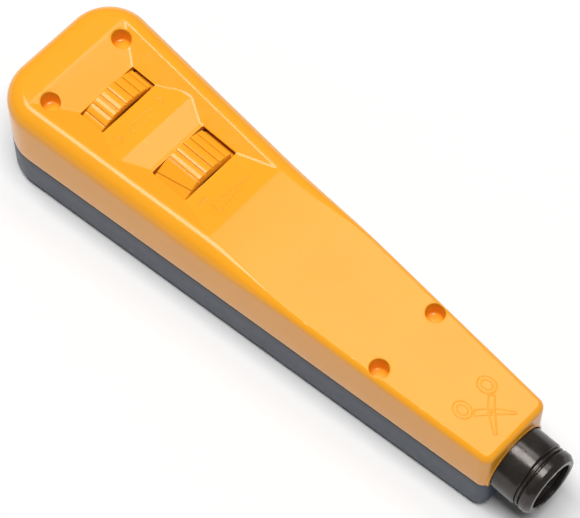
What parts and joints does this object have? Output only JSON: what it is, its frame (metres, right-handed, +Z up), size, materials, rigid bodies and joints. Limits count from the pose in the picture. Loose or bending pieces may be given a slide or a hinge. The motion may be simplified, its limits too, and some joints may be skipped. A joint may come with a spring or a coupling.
{
  "type": "punch down tool",
  "caption": "Hand-held impact tool that seats wires in terminal blocks: a tapered flat-backed handle with thumb drums on top and a short nose barrel with an empty twist-lock blade socket.",
  "frame": {"origin": "on the surface the tool lies on, under the middle of its length and width", "axes": "+X along the tool towards the nose, +Z up out of the flat back, +Y to the left when looking towards the nose"},
  "size_m": [0.141, 0.0362, 0.0276],
  "materials": {
    "yellow_plastic": "moulded plastic, satin",
    "grey_plastic": "moulded plastic, fine texture",
    "black_metal": "black oxide, lightly oiled",
    "bright_steel": "turned and ground",
    "screw_steel": "zinc plated",
    "spring_steel": "drawn wire and strip",
    "white_plastic": "self-lubricating moulded plastic",
    "black_plastic": "moulded plastic"
  },
  "bodies": {
    "housing": {"upper_shell": "yellow_plastic", "lower_shell": "grey_plastic", "case_screw_1": "screw_steel", "case_screw_2": "screw_steel", "case_screw_3": "screw_steel", "case_screw_4": "screw_steel", "guide_tube": "bright_steel", "guide_bush": "white_plastic", "blade_store": "black_plastic", "power_detent_spring": "spring_steel", "release_detent_spring": "spring_steel"},
    "nose": {"blade_holder": "black_metal", "retaining_ring": "black_metal", "nose_collar": "black_metal", "plunger_rod": "bright_steel", "return_spring": "spring_steel"},
    "hammer": {"hammer": "bright_steel", "latch_spring": "spring_steel", "impact_spring": "spring_steel"},
    "latch": {"latch_plate": "bright_steel"},
    "seat": {"spring_seat": "bright_steel"},
    "power_drum": {"power_drum": "yellow_plastic"},
    "release_drum": {"release_drum": "yellow_plastic", "lock_pin": "bright_steel"}
  },
  "joints": [
    {"name": "nose_push", "type": "slide", "parent": "housing", "child": "nose", "axis": [-1, 0, 0], "range_m": [0, 0.0085], "stiffness_N_per_m": 3000, "springref_m": -0.002, "deforming": ["return_spring"]},
    {"name": "hammer_slide", "type": "slide", "parent": "housing", "child": "hammer", "axis": [-1, 0, 0], "range_m": [0, 0.0085], "deforming": ["impact_spring"]},
    {"name": "latch_shift", "type": "slide", "parent": "hammer", "child": "latch", "axis": [0, 0, -1], "range_m": [0, 0.0012], "stiffness_N_per_m": 400, "springref_m": -0.0005, "deforming": ["latch_spring"]},
    {"name": "power_turn", "type": "hinge", "parent": "housing", "child": "power_drum", "pos_m": [-0.028, 0, 0.0122], "axis": [1, 0, 0], "range_deg": [-20, 20], "deforming": ["power_detent_spring"]},
    {"name": "seat_shift", "type": "slide", "parent": "housing", "child": "seat", "axis": [1, 0, 0], "range_m": [-0.001, 0.001]},
    {"name": "release_turn", "type": "hinge", "parent": "housing", "child": "release_drum", "pos_m": [-0.05, 0, 0.0122], "axis": [1, 0, 0], "range_deg": [-20, 20], "stiffness_Nm_per_rad": 0.03, "deforming": ["release_detent_spring"]}
  ],
  "couplings": [
    {"joint": "hammer_slide", "follows": "nose_push", "ratio": 1},
    {"joint": "power_turn", "follows": "seat_shift", "rad_per_m": 349.04}
  ]
}
